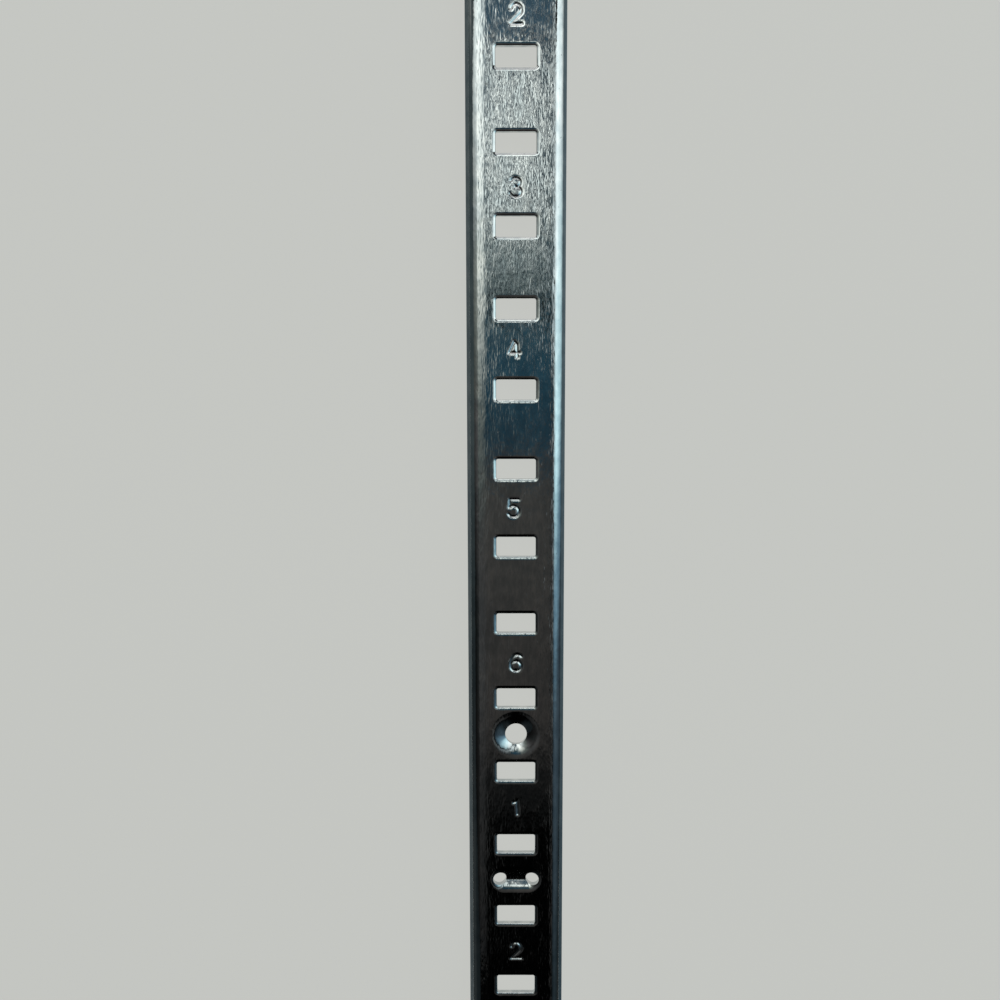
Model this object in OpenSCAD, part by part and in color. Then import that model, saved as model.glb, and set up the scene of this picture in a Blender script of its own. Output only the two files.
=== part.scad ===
// Pilaster wall standard: a shelf standard roll-formed from zinc-plated steel strip.
// It is one shallow channel with a row of clip slots, and with screw dimples and
// staple dimples pressed into the plain gaps between the slots.
// It lies face up, the flange edges on z = 0, its length along Y. Sizes in millimetres.

/* [Channel] */
// Length of the strip from end to end
strip_length = 609.6; // [304.8:152.4:1219.2]
// Width across the two flanges
channel_width = 15.875; // [14:0.125:20]
// Depth from the wall to the front face
channel_depth = 4.7625; // [4:0.0625:8]
// Thickness of the steel sheet
sheet = 0.9; // [0.7:0.05:1.1]
// Outside radius of the two long bends
bend_radius = 2; // [1.4:0.1:2.6]

/* [Clip slots] */
// Distance from one slot to the next
slot_pitch = 12.7; // [12.4:0.1:16]
// Opening of a slot across the strip
slot_width = 6.35; // [5:0.05:7.5]
// Opening of a slot along the strip
slot_height = 3.175; // [2.4:0.025:3.4]
// Corner radius of a slot opening
slot_corner = 0.3; // [0.2:0.05:1]
// Radius of the edge that the punch rolls in round a slot
slot_edge_radius = 0.7; // [0.3:0.05:0.8]

/* [Screw dimples] */
// Slots from one screw dimple to the next
dimple_cycle = 12; // [8:2:24]
// Diameter of the screw hole
screw_hole = 3.6; // [3:0.1:4.4]
// Diameter of the dimple at the front face
dimple_rim = 8.2; // [7:0.1:8.4]
// Slope of the dimple's wall against the face, in degrees
dimple_slope = 26; // [20:1:40]
// Radius of the rolled rim of the dimple
dimple_roll = 5.5; // [1:0.1:6]

/* [Staple dimples] */
// Gaps from a screw dimple to the staple dimple below it
staple_offset = 2; // [2:1:3]
// Diameter of each staple hole
staple_hole = 2.2; // [1.6:0.1:2.6]
// Distance between the two staple holes
staple_spread = 5.5; // [4.6:0.1:6]
// Width of the dimple across the strip
staple_width = 8.6; // [8:0.1:9.4]
// Height of the dimple along the strip
staple_height = 4.6; // [3.8:0.1:5]
// Slope of the dimple's wall against the face, in degrees
staple_slope = 28; // [20:1:38]
// Radius of the rolled rim of the dimple
staple_roll = 3; // [0.6:0.1:3.4]
// Half width of the flat floor of the dimple
staple_floor = 0.35; // [0.2:0.05:0.6]

/* [Hidden] */
$fn = 40;
// How far a cutter stands clear of the sheet
clear = 1;
// Angles at which the rolled edges meet the flat face
roll_lean = 15;
rim_lean = 6;
// Angle at which a dimple's rolled rim meets its sloping wall
rim_turn = 8;

web_half = channel_width / 2 - bend_radius;
flange_height = channel_depth - bend_radius;

slot_count = floor(strip_length / slot_pitch + 0.001);
row_top = slot_count * slot_pitch / 2;
screw_gap = floor(dimple_cycle / 2);
staple_gap = screw_gap + staple_offset;

// The slot's edge pieces reach this far in from its wall, and its core meets them
slot_edge_in = 0.55 * slot_corner;
slot_core_in = 0.5 * slot_corner;

// The slot's rolled edge: a circle that cuts the face and the slot wall alike
roll_centre = slot_edge_radius * cos(roll_lean);

// The screw dimple: rolled rim, straight slope, then the hole
dimple_x = dimple_rim / 2 + dimple_roll * sin(rim_lean);
dimple_z = -dimple_roll * cos(rim_lean);
dimple_chord = dimple_roll * cos(rim_turn);
dimple_neck = dimple_x - dimple_chord * sin(dimple_slope);
dimple_neck_z = dimple_z + dimple_chord * cos(dimple_slope);
dimple_drop = (dimple_neck - screw_hole / 2) * tan(dimple_slope);
dimple_floor_z = dimple_neck_z - dimple_drop;
// Length of the hole's own wall below the slope
hole_land = 0.75 * sheet;
dimple_back_z = dimple_floor_z - hole_land;

// The staple dimple: rolled rim, straight slope, then a narrow flat floor
staple_end = (staple_width - staple_height) / 2;
staple_x = staple_height / 2 + staple_roll * sin(rim_lean);
staple_z = -staple_roll * cos(rim_lean);
staple_chord = staple_roll * cos(rim_turn);
staple_neck = staple_x - staple_chord * sin(staple_slope);
staple_neck_z = staple_z + staple_chord * cos(staple_slope);
staple_drop = (staple_neck - staple_floor) * tan(staple_slope);
staple_floor_z = staple_neck_z - staple_drop;
staple_back_z = staple_floor_z - sheet;

// Height of a plain gap between two slots, counted down from the top end
function gap_y(gap) = row_top - gap * slot_pitch;

// Radius of the sheet's back at height z, one thickness behind a sloping wall
function back_radius(neck, neck_z, slope, z) =
    neck + (z - neck_z + sheet / cos(slope)) / tan(slope);

module one_side() {
    translate([0, channel_depth - sheet])
        square([web_half, sheet]);
    translate([web_half, flange_height])
        intersection() {
            difference() {
                circle(bend_radius);
                circle(bend_radius - sheet);
            }
            square(bend_radius);
        }
    translate([channel_width / 2 - sheet, 0])
        square([sheet, flange_height]);
}

module channel() {
    rotate([90, 0, 0])
        linear_extrude(strip_length, center = true)
            union() {
                one_side();
                mirror([1, 0])
                    one_side();
            }
}

// Section of the punch at a slot's edge: x = 0 on the wall, y = 0 on the face
module slot_edge() {
    translate([-slot_edge_in, -sheet - clear])
        square([slot_edge_in, sheet + 2 * clear]);
    difference() {
        translate([-slot_edge_in / 2, -roll_centre])
            square([slot_edge_in / 2 + roll_centre, roll_centre + clear]);
        translate([roll_centre, -roll_centre])
            circle(slot_edge_radius);
    }
}

module slot_side(run, out, turn) {
    rotate([0, 0, turn])
        translate([out, 0, 0])
            rotate([90, 0, 0])
                linear_extrude(run, center = true)
                    slot_edge();
}

module slot_corner_piece(x, y, turn) {
    translate([x, y, 0])
        rotate([0, 0, turn])
            rotate_extrude(angle = 90)
                translate([slot_corner, 0])
                    slot_edge();
}

module slot_punch() {
    run_x = slot_width - 2 * slot_corner;
    run_y = slot_height - 2 * slot_corner;
    core_x = slot_width - 2 * slot_core_in;
    core_y = slot_height - 2 * slot_core_in;
    translate([-core_x / 2, -core_y / 2, -sheet - clear])
        cube([core_x, core_y, sheet + 2 * clear]);
    slot_side(run_y, slot_width / 2, 0);
    slot_side(run_x, slot_height / 2, 90);
    slot_side(run_y, slot_width / 2, 180);
    slot_side(run_x, slot_height / 2, 270);
    slot_corner_piece(run_x / 2, run_y / 2, 0);
    slot_corner_piece(-run_x / 2, run_y / 2, 90);
    slot_corner_piece(-run_x / 2, -run_y / 2, 180);
    slot_corner_piece(run_x / 2, -run_y / 2, 270);
}

// Half section of a dish: flat floor, sloping wall and rolled rim
module dish_section(floor_half, floor_z, neck, neck_z, slope, roll, roll_x, roll_z) {
    polygon([
        [0, floor_z],
        [floor_half, floor_z],
        [neck + (clear - neck_z) / tan(slope), clear],
        [0, clear]
    ]);
    difference() {
        translate([neck, neck_z])
            square([roll_x - neck, clear - neck_z]);
        translate([roll_x, roll_z])
            circle(roll);
    }
}

module screw_boss() {
    top_z = -sheet / 2;
    top_r = back_radius(dimple_neck, dimple_neck_z, dimple_slope, top_z);
    low_r = back_radius(dimple_neck, dimple_neck_z, dimple_slope, dimple_back_z);
    translate([0, 0, dimple_back_z])
        cylinder(h = top_z - dimple_back_z, r1 = low_r, r2 = top_r);
}

module screw_punch() {
    rotate_extrude()
        dish_section(screw_hole / 2, dimple_floor_z, dimple_neck, dimple_neck_z,
            dimple_slope, dimple_roll, dimple_x, dimple_z);
    translate([0, 0, dimple_back_z - clear])
        cylinder(h = clear - dimple_back_z, d = screw_hole);
}

module staple_section() {
    dish_section(staple_floor, staple_floor_z, staple_neck, staple_neck_z,
        staple_slope, staple_roll, staple_x, staple_z);
}

module staple_back_section() {
    top_z = -sheet / 2;
    top_r = back_radius(staple_neck, staple_neck_z, staple_slope, top_z);
    low_r = back_radius(staple_neck, staple_neck_z, staple_slope, staple_back_z);
    polygon([
        [0, staple_back_z],
        [low_r, staple_back_z],
        [top_r, top_z],
        [0, top_z]
    ]);
}

// A half section carried round an oval: two straight sides and two round ends
module oval() {
    for (turn = [0, 180])
        rotate([0, 0, turn]) {
            rotate([90, 0, 90])
                linear_extrude(2 * staple_end, center = true)
                    children();
            translate([staple_end, 0, 0])
                rotate([0, 0, -90])
                    rotate_extrude(angle = 180)
                        children();
        }
}

module staple_boss() {
    oval()
        staple_back_section();
}

module staple_punch() {
    oval()
        staple_section();
    for (side = [-1, 1])
        translate([side * staple_spread / 2, 0, staple_back_z - clear])
            cylinder(h = clear - staple_back_z, d = staple_hole);
}

module at_gaps(first) {
    for (gap = [first : dimple_cycle : slot_count - 1])
        translate([0, gap_y(gap), channel_depth])
            children();
}

module pilaster_standard() {
    color([0.74, 0.76, 0.78])
        difference() {
            union() {
                channel();
                at_gaps(screw_gap)
                    screw_boss();
                at_gaps(staple_gap)
                    staple_boss();
            }
            for (slot = [0 : slot_count - 1])
                translate([0, gap_y(slot + 0.5), channel_depth])
                    slot_punch();
            at_gaps(screw_gap)
                screw_punch();
            at_gaps(staple_gap)
                staple_punch();
        }
}

pilaster_standard();
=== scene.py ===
import math

import bmesh
import bpy
from mathutils import Matrix, Vector


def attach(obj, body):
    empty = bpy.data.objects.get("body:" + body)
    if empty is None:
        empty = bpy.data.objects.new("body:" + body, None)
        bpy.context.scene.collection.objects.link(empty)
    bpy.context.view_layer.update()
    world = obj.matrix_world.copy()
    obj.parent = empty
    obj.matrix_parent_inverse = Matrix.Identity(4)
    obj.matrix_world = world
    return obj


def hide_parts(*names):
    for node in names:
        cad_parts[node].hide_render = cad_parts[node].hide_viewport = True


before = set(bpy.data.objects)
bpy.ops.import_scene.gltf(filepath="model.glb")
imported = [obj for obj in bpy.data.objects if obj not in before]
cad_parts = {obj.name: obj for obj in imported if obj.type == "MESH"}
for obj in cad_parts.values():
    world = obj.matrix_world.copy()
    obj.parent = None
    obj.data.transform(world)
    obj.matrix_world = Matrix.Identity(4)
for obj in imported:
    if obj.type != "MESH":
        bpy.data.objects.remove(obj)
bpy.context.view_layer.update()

MM = 0.001

# The strip, as it is rolled and punched
WIDTH = 15.875 * MM
DEPTH = 4.7625 * MM
SHEET = 0.9 * MM
BEND = 2.0 * MM
WEB_HALF = WIDTH / 2 - BEND
PITCH = 12.7 * MM
GAPS = 12
CYCLE = GAPS * PITCH
CYCLES = 4

# Clip slots: the opening, and the two arcs of its rolled edge
SLOT_WIDTH = 6.35 * MM
SLOT_HEIGHT = 3.175 * MM
SLOT_CORNER = 0.3 * MM
SLOT_SHOULDER = 1.75 * MM
SLOT_ROLL = 0.2 * MM
EDGE_LEAN = math.radians(5)
SHOULDER_END = math.radians(20)

# Screw dimples: radii of the hole, the rim and its roll, and the slope of the wall
SCREW_HOLE = 1.8 * MM
SCREW_RIM = 4.15 * MM
SCREW_SLOPE = math.radians(27)
SCREW_ROLL = 5.6 * MM

# Staple dimples: radius and distance of the two holes, then the oval dish round them
STAPLE_HOLE = 1.1 * MM
STAPLE_SPREAD = 5.5 * MM
STAPLE_WIDTH = 8.8 * MM
STAPLE_HEIGHT = 4.8 * MM
STAPLE_SLOPE = math.radians(29.5)
STAPLE_ROLL = 3.0 * MM
STAPLE_FILLET = 0.5 * MM
STAPLE_FLOOR = 0.25 * MM

# Both dimples: the angle at which a rim meets the face, and the steps of its roll
DISH_LEAN = math.radians(3)
DISH_STEPS = 8

# Press tools: how far they stand clear of the face, and how far down a hole is cut
CLEAR = 1 * MM
THROUGH = -SHEET - 2 * MM

# How close points lie to a plane to be on it
NEAR = 1e-6

# Gaps of one six-inch cycle, counted down from its upper end
NUMERAL_GAPS = {1: "4", 3: "5", 5: "6", 7: "1", 9: "2", 11: "3"}
# How far each stamp sits off the middle of its gap, in millimetres
NUMERAL_SHIFT = {"1": (0.1, 0), "2": (0.05, -0.15), "3": (0, -0.45),
                 "4": (-0.3, 0), "5": (-0.35, 0), "6": (0, -0.3)}
SCREW_GAP = 6
STAPLE_GAP = 8

# Stamped numerals: their size and stroke, the dip round them and the fine patch they are in
NUMERAL_WIDTH = 1.78 * MM
NUMERAL_HEIGHT = 2.85 * MM
NUMERAL_STROKE = 0.23 * MM
NUMERAL_DEPTH = 0.11 * MM
SKIRT_REACH = 0.6 * MM
SKIRT_DEPTH = 0.05 * MM
PATCH_WIDTH = 3.8 * MM
PATCH_HEIGHT = 5.0 * MM
PATCH_CUTS = 45


def gap_y(gap):
    return CYCLE / 2 - gap * PITCH


def clear_selection():
    if bpy.context.mode != "OBJECT":
        bpy.ops.object.mode_set(mode="OBJECT")
    bpy.ops.object.select_all(action="DESELECT")


def take(obj):
    clear_selection()
    obj.select_set(True)
    bpy.context.view_layer.objects.active = obj


def edit(obj):
    take(obj)
    bpy.ops.object.mode_set(mode="EDIT")


def pick_faces(obj, wanted):
    bpy.ops.mesh.select_mode(type="FACE")
    bpy.ops.mesh.select_all(action="DESELECT")
    mesh = bmesh.from_edit_mesh(obj.data)
    for face in mesh.faces:
        if wanted(face):
            face.select_set(True)
    bmesh.update_edit_mesh(obj.data)


def pick_edges(obj, wanted):
    bpy.ops.mesh.select_mode(type="EDGE")
    bpy.ops.mesh.select_all(action="DESELECT")
    mesh = bmesh.from_edit_mesh(obj.data)
    for edge in mesh.edges:
        if wanted(edge):
            edge.select_set(True)
    bmesh.update_edit_mesh(obj.data)


def apply_modifier(obj, kind, name, **settings):
    take(obj)
    modifier = obj.modifiers.new(name, kind)
    for key, value in settings.items():
        setattr(modifier, key, value)
    bpy.ops.object.modifier_apply(modifier=name)


def join(objects, name):
    clear_selection()
    for obj in objects:
        obj.select_set(True)
    bpy.context.view_layer.objects.active = objects[0]
    bpy.ops.object.join()
    joined = bpy.context.object
    joined.name = name
    return joined


def drop(obj):
    bpy.data.objects.remove(obj, do_unlink=True)


# One cycle of the plain channel: web, two bends, two flanges, then thickness
def channel_blank():
    clear_selection()
    bpy.ops.mesh.primitive_plane_add(size=1, location=(0, 0, 0))
    blank = bpy.context.object
    blank.name = "pilaster_strip"
    edit(blank)
    bpy.ops.mesh.select_all(action="SELECT")
    bpy.ops.transform.resize(value=(2 * WEB_HALF, CYCLE, 1), center_override=(0, 0, 0))
    bpy.ops.transform.translate(value=(0, 0, DEPTH))
    for side in (1, -1):
        pick_edges(blank, lambda edge: all(abs(v.co.x - side * WEB_HALF) < NEAR for v in edge.verts))
        bpy.ops.mesh.spin(steps=12, angle=math.radians(90), center=(side * WEB_HALF, 0, DEPTH - BEND),
                          axis=(0, -side, 0))
        pick_edges(blank, lambda edge: all(abs(v.co.z - (DEPTH - BEND)) < NEAR
                                           and v.co.x * side > WEB_HALF for v in edge.verts))
        bpy.ops.mesh.extrude_region_move(TRANSFORM_OT_translate={"value": (0, 0, BEND - DEPTH)})
    bpy.ops.mesh.select_all(action="SELECT")
    bpy.ops.mesh.remove_doubles(threshold=NEAR)
    bpy.ops.mesh.normals_make_consistent(inside=False)
    mesh = bmesh.from_edit_mesh(blank.data)
    web = max(mesh.faces, key=lambda face: face.calc_area())
    if web.normal.z < 0:
        bpy.ops.mesh.flip_normals()
    clear_selection()
    apply_modifier(blank, "SOLIDIFY", "sheet", thickness=SHEET, offset=-1.0, use_even_offset=True,
                   use_rim=True)
    return blank


def front_face(face):
    return face.normal.z > 0.99 and abs(face.calc_center_median().z - DEPTH) < NEAR


def cut_front(blank, wanted, point, normal):
    pick_faces(blank, lambda face: front_face(face) and wanted(face.calc_center_median()))
    bpy.ops.mesh.bisect(plane_co=point, plane_no=normal)


# Plain strokes of the numerals, in a box one wide and one high
def bow(x, y, rx, ry, start, end, steps=16):
    points = []
    for i in range(steps + 1):
        angle = math.radians(start + (end - start) * i / steps)
        points.append((x + rx * math.cos(angle), y + ry * math.sin(angle)))
    return points


def numeral_strokes(numeral):
    if numeral == "1":
        return [[(0.24, 0.82), (0.52, 0.90), (0.60, 0.12)]]
    if numeral == "2":
        return [bow(0.5, 0.70, 0.46, 0.30, 168, -38) + [(0.02, 0.0), (1.0, 0.0)]]
    if numeral == "3":
        return [bow(0.46, 0.755, 0.42, 0.245, 155, -90), bow(0.46, 0.265, 0.50, 0.265, 90, -155)]
    if numeral == "4":
        return [[(0.80, 0.08), (0.74, 0.78), (0.54, 0.92), (0.10, 0.32), (0.96, 0.32)]]
    if numeral == "5":
        return [[(0.92, 1.0), (0.17, 1.0), (0.10, 0.54)] + bow(0.47, 0.31, 0.49, 0.31, 130, -150)]
    return [bow(0.5, 0.29, 0.48, 0.29, 0, 360, 28), bow(0.66, 0.36, 0.64, 0.60, 180, 58)]


def stroke_distance(point, strokes):
    nearest = 1.0
    for stroke in strokes:
        for a, b in zip(stroke, stroke[1:]):
            run = b - a
            along = max(0.0, min(1.0, (point - a).dot(run) / run.length_squared))
            nearest = min(nearest, (point - a - run * along).length)
    return nearest


def bell(reach):
    return 0.5 * (1 + math.cos(math.pi * reach)) if reach < 1 else 0.0


# The numerals are stamped into fine patches of the front face, and draw it in a little
def stamp_numerals(blank):
    edit(blank)
    everywhere = lambda centre: True
    for gap in NUMERAL_GAPS:
        for side in (1, -1):
            cut_front(blank, everywhere, (0, gap_y(gap) + side * PATCH_HEIGHT / 2, DEPTH), (0, 1, 0))
    near = lambda y: any(abs(y - gap_y(gap)) < 0.1 * MM for gap in NUMERAL_GAPS)
    for side in (1, -1):
        cut_front(blank, lambda centre: near(centre.y), (side * PATCH_WIDTH / 2, 0, DEPTH), (1, 0, 0))
    pick_faces(blank, lambda face: front_face(face) and near(face.calc_center_median().y)
               and abs(face.calc_center_median().x) < 0.1 * MM)
    bpy.ops.mesh.subdivide(number_cuts=PATCH_CUTS)
    mesh = bmesh.from_edit_mesh(blank.data)
    for gap, numeral in NUMERAL_GAPS.items():
        middle = Vector((0, gap_y(gap))) + Vector(NUMERAL_SHIFT[numeral]) * MM
        strokes = []
        for stroke in numeral_strokes(numeral):
            strokes.append([middle + Vector(((x - 0.5) * NUMERAL_WIDTH, (y - 0.5) * NUMERAL_HEIGHT))
                            for x, y in stroke])
        for vert in mesh.verts:
            inside = (abs(vert.co.x) < PATCH_WIDTH / 2 - NEAR
                      and abs(vert.co.y - gap_y(gap)) < PATCH_HEIGHT / 2 - NEAR
                      and abs(vert.co.z - DEPTH) < NEAR)
            if not inside:
                continue
            away = stroke_distance(vert.co.xy, strokes)
            vert.co.z -= NUMERAL_DEPTH * bell(away / NUMERAL_STROKE) + SKIRT_DEPTH * bell(away / SKIRT_REACH)
    bmesh.update_edit_mesh(blank.data)
    clear_selection()


# A press tool, drawn down from its outline in steps of (inwards, downwards)
def press_tool(name, tool, y, top, steps):
    tool.name = name
    edit(tool)
    bpy.ops.mesh.select_all(action="SELECT")
    bpy.ops.transform.translate(value=(0, y, top))
    mesh = bmesh.from_edit_mesh(tool.data)
    mesh.normal_update()
    mesh.faces.ensure_lookup_table()
    if mesh.faces[0].normal.z > 0:
        bpy.ops.mesh.flip_normals()
    bpy.ops.mesh.select_mode(type="FACE")
    bpy.ops.mesh.select_all(action="SELECT")
    for inwards, downwards in steps:
        if inwards:
            bpy.ops.mesh.inset(thickness=inwards, depth=downwards)
        else:
            bpy.ops.mesh.extrude_region_move(TRANSFORM_OT_translate={"value": (0, 0, -downwards)})
    bpy.ops.mesh.select_all(action="SELECT")
    bpy.ops.mesh.normals_make_consistent(inside=False)
    clear_selection()
    return tool


def rounded_outline(width, height, corner, segments):
    clear_selection()
    bpy.ops.mesh.primitive_plane_add(size=1, location=(0, 0, 0))
    outline = bpy.context.object
    edit(outline)
    bpy.ops.mesh.select_all(action="SELECT")
    bpy.ops.transform.resize(value=(width, height, 1), center_override=(0, 0, 0))
    bpy.ops.mesh.bevel(offset=corner, segments=segments, affect="VERTICES")
    bpy.ops.mesh.remove_doubles(threshold=NEAR)
    clear_selection()
    return outline


def round_outline(radius):
    clear_selection()
    bpy.ops.mesh.primitive_circle_add(vertices=96, radius=radius, fill_type="NGON", location=(0, 0, 0))
    return bpy.context.object


# Points (reach, height) of an edge that starts just above the face at its rim
def rim_points(rim, radius, lean):
    return [(rim + radius * (math.sin(lean) - math.sin(lean / 2)),
             radius * (math.cos(lean / 2) - math.cos(lean)))]


# An arc from one slope to the next, drawn on from the last point
def add_arc(points, radius, start, end, steps):
    reach, height = points[-1]
    for i in range(1, steps + 1):
        turn = start + (end - start) * i / steps
        points.append((reach - radius * abs(math.sin(turn) - math.sin(start)),
                       height - radius * abs(math.cos(start) - math.cos(turn))))


# A tool comes down to the face from where it stands clear, then follows the points
def steps_along(points, bottom):
    steps = [(0, CLEAR - points[0][1])]
    for (reach, height), (next_reach, next_height) in zip(points, points[1:]):
        steps.append((reach - next_reach, height - next_height))
    steps.append((0, points[-1][1] - bottom))
    return steps


def slot_tool(y):
    rim = (SLOT_SHOULDER * (math.sin(SHOULDER_END) - math.sin(EDGE_LEAN))
           + SLOT_ROLL * (1 - math.sin(SHOULDER_END)))
    points = rim_points(rim, SLOT_SHOULDER, EDGE_LEAN)
    add_arc(points, SLOT_SHOULDER, EDGE_LEAN / 2, SHOULDER_END, 5)
    add_arc(points, SLOT_ROLL, SHOULDER_END, math.radians(90), 6)
    reach = points[0][0]
    outline = rounded_outline(SLOT_WIDTH + 2 * reach, SLOT_HEIGHT + 2 * reach, SLOT_CORNER + reach, 7)
    return press_tool("slot_tool", outline, y, DEPTH + CLEAR, steps_along(points, THROUGH))


def dish_points(rim, roll, slope, fillet, floor):
    points = rim_points(rim, roll, DISH_LEAN)
    add_arc(points, roll, DISH_LEAN / 2, slope, DISH_STEPS)
    reach, height = points[-1]
    start = floor + fillet * math.sin(slope)
    points.append((start, height - (reach - start) * math.tan(slope)))
    if fillet:
        add_arc(points, fillet, slope, 0.0, 5)
    return points


# Reach of the sheet's back, one thickness behind the sloping wall
def back_reach(points, slope, height):
    reach, neck = points[DISH_STEPS]
    return reach + (height - neck + SHEET / math.cos(slope)) / math.tan(slope)


def boss_steps(points, slope, land):
    top, bottom = -SHEET / 2, points[-1][1] - land
    wide, narrow = back_reach(points, slope, top), back_reach(points, slope, bottom)
    return wide, [(0, 0.01 * MM), (wide - narrow, top - bottom)]


SCREW_POINTS = dish_points(SCREW_RIM, SCREW_ROLL, SCREW_SLOPE, 0, SCREW_HOLE)
STAPLE_POINTS = dish_points(STAPLE_HEIGHT / 2, STAPLE_ROLL, STAPLE_SLOPE, STAPLE_FILLET, STAPLE_FLOOR)


def oval_outline(reach):
    return rounded_outline(STAPLE_WIDTH - STAPLE_HEIGHT + 2 * reach, 2 * reach, 0.9999 * reach, 24)


def screw_tool():
    return press_tool("screw_tool", round_outline(SCREW_POINTS[0][0]), gap_y(SCREW_GAP),
                      DEPTH + CLEAR, steps_along(SCREW_POINTS, THROUGH))


def staple_tool():
    return press_tool("staple_tool", oval_outline(STAPLE_POINTS[0][0]), gap_y(STAPLE_GAP),
                      DEPTH + CLEAR, steps_along(STAPLE_POINTS, STAPLE_POINTS[-1][1])[:-1])


def screw_boss():
    wide, steps = boss_steps(SCREW_POINTS, SCREW_SLOPE, 0.75 * SHEET)
    return press_tool("screw_boss", round_outline(wide), gap_y(SCREW_GAP), DEPTH - SHEET / 2, steps)


def staple_boss():
    wide, steps = boss_steps(STAPLE_POINTS, STAPLE_SLOPE, SHEET)
    return press_tool("staple_boss", oval_outline(wide), gap_y(STAPLE_GAP), DEPTH - SHEET / 2, steps)


def staple_drills():
    drills = []
    for side in (-1, 1):
        clear_selection()
        bpy.ops.mesh.primitive_cylinder_add(vertices=48, radius=STAPLE_HOLE, depth=8 * MM,
                                            location=(side * STAPLE_SPREAD / 2, gap_y(STAPLE_GAP), DEPTH))
        bpy.ops.object.transform_apply(location=True, rotation=False, scale=False)
        drills.append(bpy.context.object)
    return drills


def press(blank, tools, name, operation):
    tool = join(tools, name)
    apply_modifier(blank, "BOOLEAN", name, operation=operation, solver="EXACT", object=tool)
    drop(tool)


# The rolled face is dead flat, so its shading normals point straight out
def level_front(mesh):
    normals = [corner.vector.copy() for corner in mesh.corner_normals]
    level = set()
    for face in mesh.polygons:
        if face.normal.z > 0.99999 and abs(face.center.z - DEPTH) < NEAR:
            level.update(face.vertices)
    for face in mesh.polygons:
        if face.normal.z > 0.5:
            for corner in face.loop_indices:
                if mesh.loops[corner].vertex_index in level:
                    normals[corner] = Vector((0, 0, 1))
    mesh.normals_split_custom_set(normals)


# The whole strip: four cycles of the punched channel, with the two cut ends
def pilaster_strip():
    strip = channel_blank()
    stamp_numerals(strip)
    press(strip, [screw_boss(), staple_boss()], "bosses", "UNION")
    press(strip, [slot_tool(gap_y(gap + 0.5)) for gap in range(GAPS)], "slots", "DIFFERENCE")
    press(strip, [screw_tool(), staple_tool()], "dimples", "DIFFERENCE")
    press(strip, staple_drills(), "drills", "DIFFERENCE")
    edit(strip)
    pick_faces(strip, lambda face: abs(face.normal.y) > 0.99
               and abs(abs(face.calc_center_median().y) - CYCLE / 2) < NEAR)
    bpy.ops.mesh.delete(type="FACE")
    clear_selection()
    apply_modifier(strip, "ARRAY", "cycles", count=CYCLES, use_relative_offset=False,
                   use_constant_offset=True, constant_offset_displace=(0, -CYCLE, 0),
                   use_merge_vertices=True, merge_threshold=2 * NEAR)
    edit(strip)
    bpy.ops.mesh.select_all(action="SELECT")
    bpy.ops.transform.translate(value=(0, (CYCLES - 1) * CYCLE / 2, 0))
    bpy.ops.mesh.remove_doubles(threshold=NEAR)
    for side in (1, -1):
        end = side * CYCLES * CYCLE / 2
        pick_edges(strip, lambda edge: edge.is_boundary
                   and all(abs(v.co.y - end) < 10 * NEAR for v in edge.verts))
        bpy.ops.mesh.edge_face_add()
    bpy.ops.mesh.select_all(action="SELECT")
    bpy.ops.mesh.normals_make_consistent(inside=False)
    take(strip)
    bpy.ops.object.shade_smooth_by_angle(angle=math.radians(32))
    apply_modifier(strip, "WEIGHTED_NORMAL", "weighted", mode="FACE_AREA", weight=50, keep_sharp=True)
    level_front(strip.data)
    return strip


# Nodes
def add(tree, kind, **inputs):
    made = tree.nodes.new(kind)
    for name, value in inputs.items():
        made.inputs[name.replace("_", " ")].default_value = value
    return made


def noise(tree, vector, stretch, detail, seed=(0, 0, 0)):
    mapping = add(tree, "ShaderNodeMapping", Scale=stretch, Location=seed)
    texture = add(tree, "ShaderNodeTexNoise", Scale=1.0, Detail=detail, Roughness=0.55)
    tree.links.new(vector, mapping.inputs["Vector"])
    tree.links.new(mapping.outputs["Vector"], texture.inputs["Vector"])
    return texture.outputs["Fac"]


def math_node(tree, operation, first, second):
    made = tree.nodes.new("ShaderNodeMath")
    made.operation = operation
    for socket, value in zip(made.inputs, (first, second)):
        if isinstance(value, (int, float)):
            socket.default_value = value
        else:
            tree.links.new(value, socket)
    return made.outputs["Value"]


def spread(tree, value, low, high, to_low, to_high, smooth=False):
    made = tree.nodes.new("ShaderNodeMapRange")
    made.interpolation_type = "SMOOTHSTEP" if smooth else "LINEAR"
    for name, number in (("From Min", low), ("From Max", high), ("To Min", to_low), ("To Max", to_high)):
        made.inputs[name].default_value = number
    tree.links.new(value, made.inputs["Value"])
    return made.outputs["Result"]


def mixed(tree, factor, first, second):
    made = tree.nodes.new("ShaderNodeMix")
    made.data_type = "RGBA"
    tree.links.new(factor, made.inputs["Factor"])
    for socket, value in ((made.inputs["A"], first), (made.inputs["B"], second)):
        if isinstance(value, tuple):
            socket.default_value = value
        else:
            tree.links.new(value, socket)
    return made.outputs["Result"]


def ramp(tree, value, stops):
    made = tree.nodes.new("ShaderNodeValToRGB")
    made.color_ramp.interpolation = "EASE"
    elements = made.color_ramp.elements
    while len(elements) < len(stops):
        elements.new(0.5)
    for element, (position, colour) in zip(elements, stops):
        element.position = position
        element.color = colour
    tree.links.new(value, made.inputs["Fac"])
    return made.outputs["Color"]


# Heights of the relief in the plating: lines, waves, and the ease towards each bend
LINE_HEIGHT = 0.019 * MM
WAVE_HEIGHT = 0.026 * MM
LEFT_EASE = 0.11 * MM
RIGHT_EASE = 0.022 * MM


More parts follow.
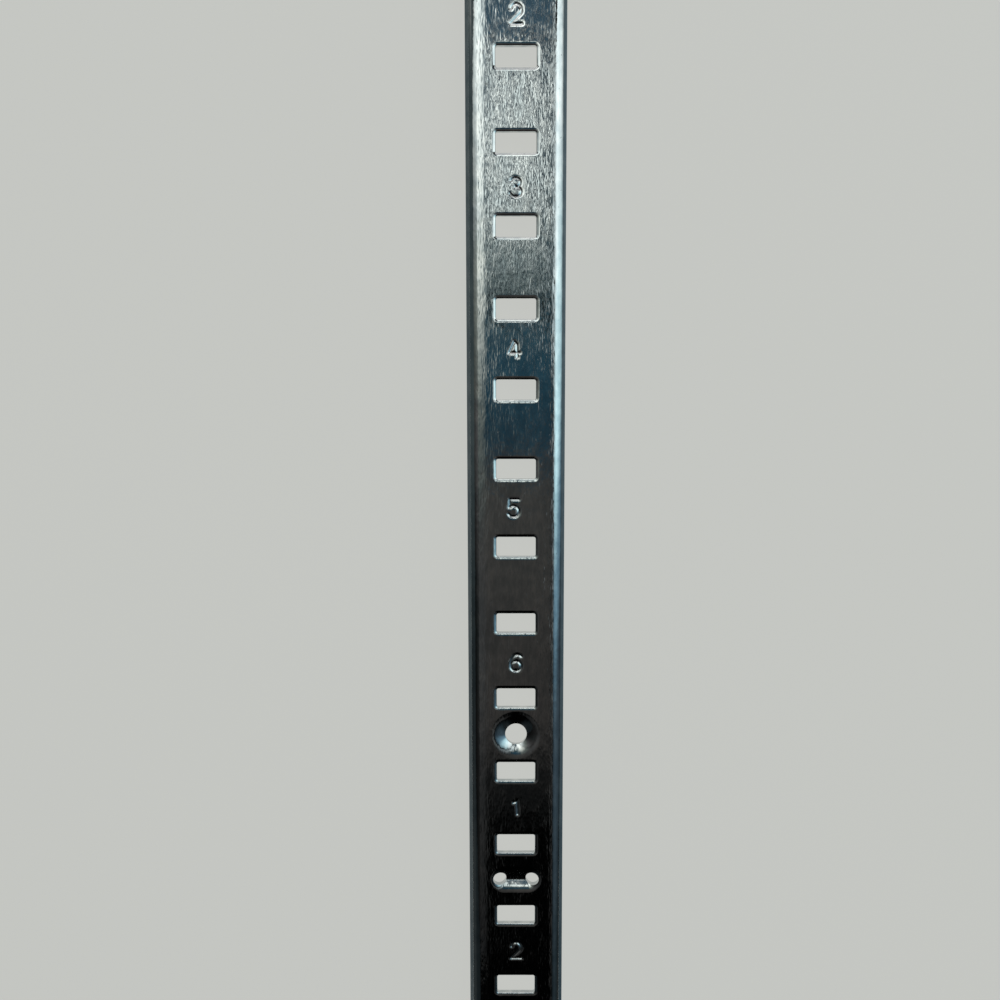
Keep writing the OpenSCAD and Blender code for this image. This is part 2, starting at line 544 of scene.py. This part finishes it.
# Rolling lines, waves, clouds and specks of a plated sheet
def rolling_lines():
    group = bpy.data.node_groups.new("rolling_lines", "ShaderNodeTree")
    group.interface.new_socket("Vector", in_out="INPUT", socket_type="NodeSocketVector")
    for name in ("Lines", "Waves", "Clouds", "Specks"):
        group.interface.new_socket(name, in_out="OUTPUT", socket_type="NodeSocketFloat")
    start = group.nodes.new("NodeGroupInput")
    end = group.nodes.new("NodeGroupOutput")
    vector = start.outputs["Vector"]
    short = noise(group, vector, (3700, 820, 3700), 1.0)
    long = noise(group, vector, (4800, 300, 4800), 1.0, (3, 7, 1))
    lines = math_node(group, "ADD", math_node(group, "MULTIPLY", short, 0.7),
                      math_node(group, "MULTIPLY", long, 0.3))
    waves = noise(group, vector, (800, 400, 800), 2.0, (5, 1, 4))
    clouds = noise(group, vector, (210, 60, 210), 3.0, (1, 9, 2))
    specks = noise(group, vector, (1900, 1500, 1900), 1.0, (8, 2, 6))
    for name, value in (("Lines", lines), ("Waves", waves), ("Clouds", clouds), ("Specks", specks)):
        group.links.new(value, end.inputs[name])
    return group


# Where the sheet keeps its rolled face: flat, not bent or pressed
def rolled_face(tree, place):
    turned = tree.nodes.new("ShaderNodeSeparateXYZ")
    tree.links.new(place.outputs["Normal"], turned.inputs["Vector"])
    across = math_node(tree, "ABSOLUTE", turned.outputs["X"], 0.0)
    out = math_node(tree, "ABSOLUTE", turned.outputs["Z"], 0.0)
    return spread(tree, math_node(tree, "MAXIMUM", across, out), 0.985, 0.9985, 0.0, 1.0, smooth=True)


# The forming rollers ease the face down towards the bends, not quite evenly
def eased_edges(tree, place, waves):
    where = tree.nodes.new("ShaderNodeSeparateXYZ")
    tree.links.new(place.outputs["Object"], where.inputs["Vector"])
    left = math_node(tree, "SUBTRACT", math_node(tree, "MULTIPLY", waves, 1.1 * MM), where.outputs["X"])
    left = spread(tree, left, 5.1 * MM, 8.0 * MM, 0.0, -LEFT_EASE, smooth=True)
    right = spread(tree, where.outputs["X"], 5.45 * MM, 6.5 * MM, 0.0, -RIGHT_EASE, smooth=True)
    return math_node(tree, "ADD", left, right)


def zinc():
    material = bpy.data.materials.new("zinc")
    material.use_nodes = True
    tree = material.node_tree
    shader = tree.nodes["Principled BSDF"]
    shader.inputs["Metallic"].default_value = 1.0
    place = tree.nodes.new("ShaderNodeTexCoord")
    lines = tree.nodes.new("ShaderNodeGroup")
    lines.node_tree = rolling_lines()
    tree.links.new(place.outputs["Object"], lines.inputs["Vector"])
    streak, waves = lines.outputs["Lines"], lines.outputs["Waves"]
    clouds, specks = lines.outputs["Clouds"], lines.outputs["Specks"]
    rolled = rolled_face(tree, place)
    pits = math_node(tree, "MULTIPLY", rolled, spread(tree, streak, 0.42, 0.60, 0.0, 1.0, smooth=True))
    shade = math_node(tree, "ADD", math_node(tree, "MULTIPLY", waves, 0.6),
                      math_node(tree, "MULTIPLY", clouds, 0.4))
    plate = mixed(tree, spread(tree, shade, 0.40, 0.60, 0, 1),
                  (0.52, 0.56, 0.57, 1), (0.73, 0.745, 0.735, 1))
    plate = mixed(tree, math_node(tree, "MULTIPLY", pits, 0.3), plate, (0.40, 0.43, 0.44, 1))
    spots = spread(tree, specks, 0.74, 0.80, 0, 0.6)
    plate = mixed(tree, spots, plate, (0.30, 0.31, 0.31, 1))
    tree.links.new(plate, shader.inputs["Base Color"])
    rough = math_node(tree, "ADD", spread(tree, clouds, 0.40, 0.70, 0.05, 0.08),
                      math_node(tree, "MULTIPLY", pits, 0.03))
    rough = math_node(tree, "ADD", rough, math_node(tree, "MULTIPLY", spots, 0.3))
    rough = math_node(tree, "ADD", rough, spread(tree, rolled, 0.0, 1.0, 0.03, 0.0))
    tree.links.new(rough, shader.inputs["Roughness"])
    worn = math_node(tree, "MULTIPLY", rolled, spread(tree, waves, 0.38, 0.62, 0.6, 1.4))
    grain = math_node(tree, "SUBTRACT", streak, 0.5)
    height = math_node(tree, "MULTIPLY", math_node(tree, "MULTIPLY", grain, worn), LINE_HEIGHT)
    height = math_node(tree, "ADD", height, math_node(tree, "MULTIPLY", waves, WAVE_HEIGHT))
    height = math_node(tree, "ADD", height, eased_edges(tree, place, waves))
    bump = add(tree, "ShaderNodeBump", Strength=1.0, Distance=1.0)
    tree.links.new(height, bump.inputs["Height"])
    tree.links.new(bump.outputs["Normal"], shader.inputs["Normal"])
    return material


# Camera: it looks down on the middle of the strip, from nearer the upper end
LENS = 34.2
SENSOR = 36
SHIFT_X = -0.01596
TILT = math.radians(6.706)
DISTANCE = 153.57 * MM
AIM_Y = -36.76 * MM


def camera():
    data = bpy.data.cameras.new("camera")
    data.sensor_width = SENSOR
    data.lens = LENS
    data.shift_x = SHIFT_X
    data.clip_start = 0.01
    seen = bpy.data.objects.new("camera", data)
    bpy.context.scene.collection.objects.link(seen)
    seen.location = (0, AIM_Y + DISTANCE * math.sin(TILT), DEPTH + DISTANCE * math.cos(TILT))
    seen.rotation_euler = (-TILT, 0, 0)
    bpy.context.scene.camera = seen


# A card for the metal to reflect: a corner, its two edges and a ramp of light along each.
# The alpha of the ramp across it makes an edge of the card fade out.
def light_card(name, corner, across, along, glow_along, glow_across=None):
    clear_selection()
    bpy.ops.mesh.primitive_plane_add(size=1, location=(0, 0, 0))
    card = bpy.context.object
    card.name = name
    across, along = Vector(across), Vector(along)
    turn = Matrix((across, along, across.cross(along).normalized())).transposed().to_4x4()
    card.matrix_world = Matrix.Translation(Vector(corner) + (across + along) / 2) @ turn
    material = bpy.data.materials.new(name)
    material.use_nodes = True
    tree = material.node_tree
    tree.nodes.clear()
    out = tree.nodes.new("ShaderNodeOutputMaterial")
    glow = add(tree, "ShaderNodeEmission", Strength=1.0)
    place = tree.nodes.new("ShaderNodeTexCoord")
    split = tree.nodes.new("ShaderNodeSeparateXYZ")
    tree.links.new(place.outputs["UV"], split.inputs["Vector"])
    tree.links.new(ramp(tree, split.outputs["Y"], glow_along), glow.inputs["Color"])
    surface = glow.outputs["Emission"]
    if glow_across:
        level = ramp(tree, split.outputs["X"], glow_across)
        tree.links.new(level, glow.inputs["Strength"])
        blend = tree.nodes.new("ShaderNodeMixShader")
        clear = tree.nodes.new("ShaderNodeBsdfTransparent")
        tree.links.new(level.node.outputs["Alpha"], blend.inputs["Fac"])
        tree.links.new(clear.outputs["BSDF"], blend.inputs[1])
        tree.links.new(surface, blend.inputs[2])
        surface = blend.outputs["Shader"]
    tree.links.new(surface, out.inputs["Surface"])
    card.data.materials.append(material)
    card.visible_camera = False
    return card


def grey(level, cover=1):
    return (level, level, level, cover)


def lights():
    light_card("softbox_left", (-0.22, -0.50, 0.598), (0.20, 0, 0), (0, 0.82, 0),
               [(0.0, grey(0.02)), (0.18, grey(0.03)), (0.32, grey(0.06)), (0.42, grey(0.06)),
                (0.55, (0.14, 0.16, 0.15, 1)), (0.64, (0.54, 0.57, 0.53, 1)), (0.70, (0.95, 1.0, 0.93, 1)),
                (0.79, (1.35, 1.42, 1.36, 1)), (1.0, (1.35, 1.45, 1.42, 1))],
               [(0.0, grey(0.4)), (0.40, grey(1.0)), (0.62, grey(1.0)), (1.0, grey(1.0, 0.0))])
    light_card("softbox_left_wide", (-0.75, -0.50, 0.60), (0.62, 0, 0), (0, 0.82, 0),
               [(0.0, grey(0.01)), (0.18, grey(0.013)), (0.32, (0.018, 0.021, 0.021, 1)), (0.40, grey(0.035)),
                (0.55, grey(0.10)), (0.64, (0.20, 0.22, 0.20, 1)), (0.70, (0.27, 0.30, 0.28, 1)),
                (0.84, (0.68, 0.74, 0.73, 1)), (0.92, (1.1, 1.2, 1.18, 1)), (1.0, (1.1, 1.2, 1.18, 1))],
               [(0.0, grey(0.4)), (0.24, grey(0.5)), (0.60, grey(0.7)), (0.75, grey(1.0)), (1.0, grey(1.2))])
    light_card("softbox_left_far", (-0.16, 0.315, 0.60), (0.19, 0, 0), (0, 0.145, 0),
               [(0.0, grey(1.0)), (0.15, (1.6, 1.7, 1.65, 1)), (0.8, (1.6, 1.7, 1.65, 1)), (1.0, grey(0.8))])
    light_card("softbox_top", (-0.55, 0.46, 0.60), (1.10, 0, 0), (0, 0.45, 0),
               [(0.0, grey(0.5)), (0.3, grey(0.8))])
    light_card("softbox_right", (0.23, -0.40, 0.427), (0.52, 0, -0.60), (-0.16, 0.66, 0.185),
               [(0.0, (0.02, 0.03, 0.035, 1)), (0.30, (0.06, 0.09, 0.115, 1)),
                (0.43, (0.19, 0.33, 0.43, 1)), (0.57, (0.78, 1.14, 1.24, 1)),
                (0.67, (1.05, 1.36, 1.42, 1)), (0.80, (1.4, 1.56, 1.57, 1))],
               [(0.0, grey(0.35)), (0.12, grey(0.8)), (0.25, grey(1.0)), (0.45, grey(0.85)),
                (1.0, grey(0.25))])
    light_card("edge_right", (0.06, -0.60, 0.61), (0.09, 0, 0), (0, 0.60, 0),
               [(0.0, grey(0.02)), (0.25, grey(0.04)), (0.42, grey(0.07)), (0.60, (0.13, 0.14, 0.14, 1)),
                (0.72, (0.19, 0.21, 0.22, 1)), (0.92, (0.26, 0.29, 0.30, 1)), (1.0, (0.36, 0.41, 0.42, 1))],
               [(0.0, grey(0.05)), (0.3, grey(0.4)), (0.7, grey(1.0))])
    light_card("edge_right_far", (0.04, 0.0, 0.61), (0.09, 0, 0), (0, 0.28, 0),
               [(0.0, (0.3, 0.34, 0.35, 1)), (0.26, (0.5, 0.57, 0.58, 1)), (0.7, (0.6, 0.66, 0.66, 1)),
                (0.95, (0.45, 0.5, 0.5, 1))],
               [(0.0, grey(0.1)), (0.25, grey(0.7)), (0.7, grey(1.8))])
    light_card("ceiling", (-0.15, -0.40, 0.62), (0.25, 0, 0), (0, 0.90, 0),
               [(0.0, grey(0.0005)), (0.054, grey(0.010)), (0.124, (0.042, 0.039, 0.037, 1)),
                (0.327, (0.058, 0.056, 0.053, 1)), (0.389, (0.017, 0.046, 0.068, 1)),
                (0.444, (0.022, 0.066, 0.096, 1)), (0.513, (0.07, 0.12, 0.14, 1)),
                (0.70, (0.05, 0.10, 0.14, 1)), (0.778, (0.05, 0.10, 0.14, 1)), (1.0, (0.09, 0.10, 0.11, 1))])
    light_card("lamp", (-0.026, 0.035, 0.60), (0.051, 0, 0), (0, 0.21, 0),
               [(0.02, grey(0.0)), (0.12, (0.18, 0.23, 0.23, 1)), (0.224, (0.5, 0.58, 0.57, 1)),
                (0.333, (0.9, 0.97, 0.93, 1)), (0.43, (1.36, 1.46, 1.41, 1)), (0.90, (1.36, 1.46, 1.41, 1)),
                (0.97, grey(0.2))],
               [(0.1, grey(0.0)), (0.35, grey(1.0)), (0.65, grey(1.0)), (0.9, grey(0.0))])
    light_card("softbox_far", (-0.45, 0.80, 0.04), (0.90, 0, 0), (0, 0, 0.36),
               [(0.0, grey(1.2)), (0.8, grey(1.6)), (1.0, grey(0.6))])
    # Two flags low beside the strip keep the floor's pale glow off the bends
    for name, x, low, high in (("flag_left", -0.60, (0.08, 0.095, 0.10, 1), (0.09, 0.11, 0.115, 1)),
                               ("flag_right", 0.00795, (0.05, 0.075, 0.09, 1), (0.11, 0.15, 0.17, 1))):
        flag = light_card(name, (x, -0.32, 0.0002), (0.59205, 0, 0), (0, 0.64, 0),
                          [(0.27, low), (0.55, high)])
        flag.visible_diffuse = False
        flag.visible_shadow = False


# Floor and surroundings: pale, without more light on the strip
PALE = (0.605, 0.615, 0.585, 1)


def background_rays(tree):
    path = tree.nodes.new("ShaderNodeLightPath")
    seen = math_node(tree, "ADD", path.outputs["Is Camera Ray"], path.outputs["Is Glossy Ray"])
    seen = math_node(tree, "ADD", seen, path.outputs["Is Transmission Ray"])
    return math_node(tree, "MINIMUM", seen, 1.0)


def floor():
    clear_selection()
    bpy.ops.mesh.primitive_plane_add(size=8, location=(0, 0, 0))
    ground = bpy.context.object
    ground.name = "floor"
    material = bpy.data.materials.new("floor")
    material.use_nodes = True
    tree = material.node_tree
    tree.nodes.clear()
    out = tree.nodes.new("ShaderNodeOutputMaterial")
    lit = add(tree, "ShaderNodeBsdfDiffuse", Color=(0.60, 0.60, 0.58, 1))
    pale = add(tree, "ShaderNodeEmission", Color=PALE, Strength=1.0)
    blend = tree.nodes.new("ShaderNodeMixShader")
    tree.links.new(math_node(tree, "MULTIPLY", background_rays(tree), 0.88), blend.inputs["Fac"])
    tree.links.new(lit.outputs["BSDF"], blend.inputs[1])
    tree.links.new(pale.outputs["Emission"], blend.inputs[2])
    tree.links.new(blend.outputs["Shader"], out.inputs["Surface"])
    ground.data.materials.append(material)


# A dim room, pale only near the horizon beyond the upper end, with a wall on the left
def surroundings():
    world = bpy.data.worlds.new("studio")
    bpy.context.scene.world = world
    world.use_nodes = True
    tree = world.node_tree
    tree.nodes.clear()
    out = tree.nodes.new("ShaderNodeOutputWorld")
    place = tree.nodes.new("ShaderNodeTexCoord")
    split = tree.nodes.new("ShaderNodeSeparateXYZ")
    tree.links.new(place.outputs["Generated"], split.inputs["Vector"])
    low = spread(tree, split.outputs["Z"], 0.40, 0.52, 1.0, 0.0, smooth=True)
    upper = spread(tree, split.outputs["Y"], -0.1, 0.3, 0.02, 1.0, smooth=True)
    product = math_node(tree, "MULTIPLY", split.outputs["X"], split.outputs["Y"])
    product = math_node(tree, "ABSOLUTE", product, 0.0)
    squares = math_node(tree, "ADD", math_node(tree, "POWER", split.outputs["X"], 2.0),
                        math_node(tree, "POWER", split.outputs["Y"], 2.0))
    aside = spread(tree, math_node(tree, "DIVIDE", product, squares), 0.31, 0.44, 0.0, 1.0, smooth=True)
    share = math_node(tree, "MULTIPLY", math_node(tree, "MULTIPLY", low, aside), upper)
    sideways = math_node(tree, "ABSOLUTE", split.outputs["X"], 0.0)
    side = spread(tree, sideways, 0.15, 0.4, 0.0, 1.0, smooth=True)
    room = mixed(tree, side, grey(0.0005), (0.012, 0.016, 0.018, 1))
    wall = math_node(tree, "MULTIPLY", spread(tree, split.outputs["X"], -0.5, -0.8, 0.0, 1.0, smooth=True),
                     spread(tree, split.outputs["Y"], -0.35, 0.05, 0.1, 1.0, smooth=True))
    room = mixed(tree, wall, room, (0.055, 0.073, 0.077, 1))
    room = mixed(tree, share, room, PALE)
    path = tree.nodes.new("ShaderNodeLightPath")
    colour = mixed(tree, path.outputs["Is Camera Ray"], room, (0.546, 0.558, 0.527, 1))
    sky = add(tree, "ShaderNodeBackground", Strength=1.0)
    tree.links.new(colour, sky.inputs["Color"])
    tree.links.new(sky.outputs["Background"], out.inputs["Surface"])


camera()
lights()
floor()
surroundings()
bpy.context.scene.view_settings.view_transform = "Standard"

strip = pilaster_strip()
strip.data.materials.append(zinc())
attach(strip, "root")
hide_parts("pilaster_standard")
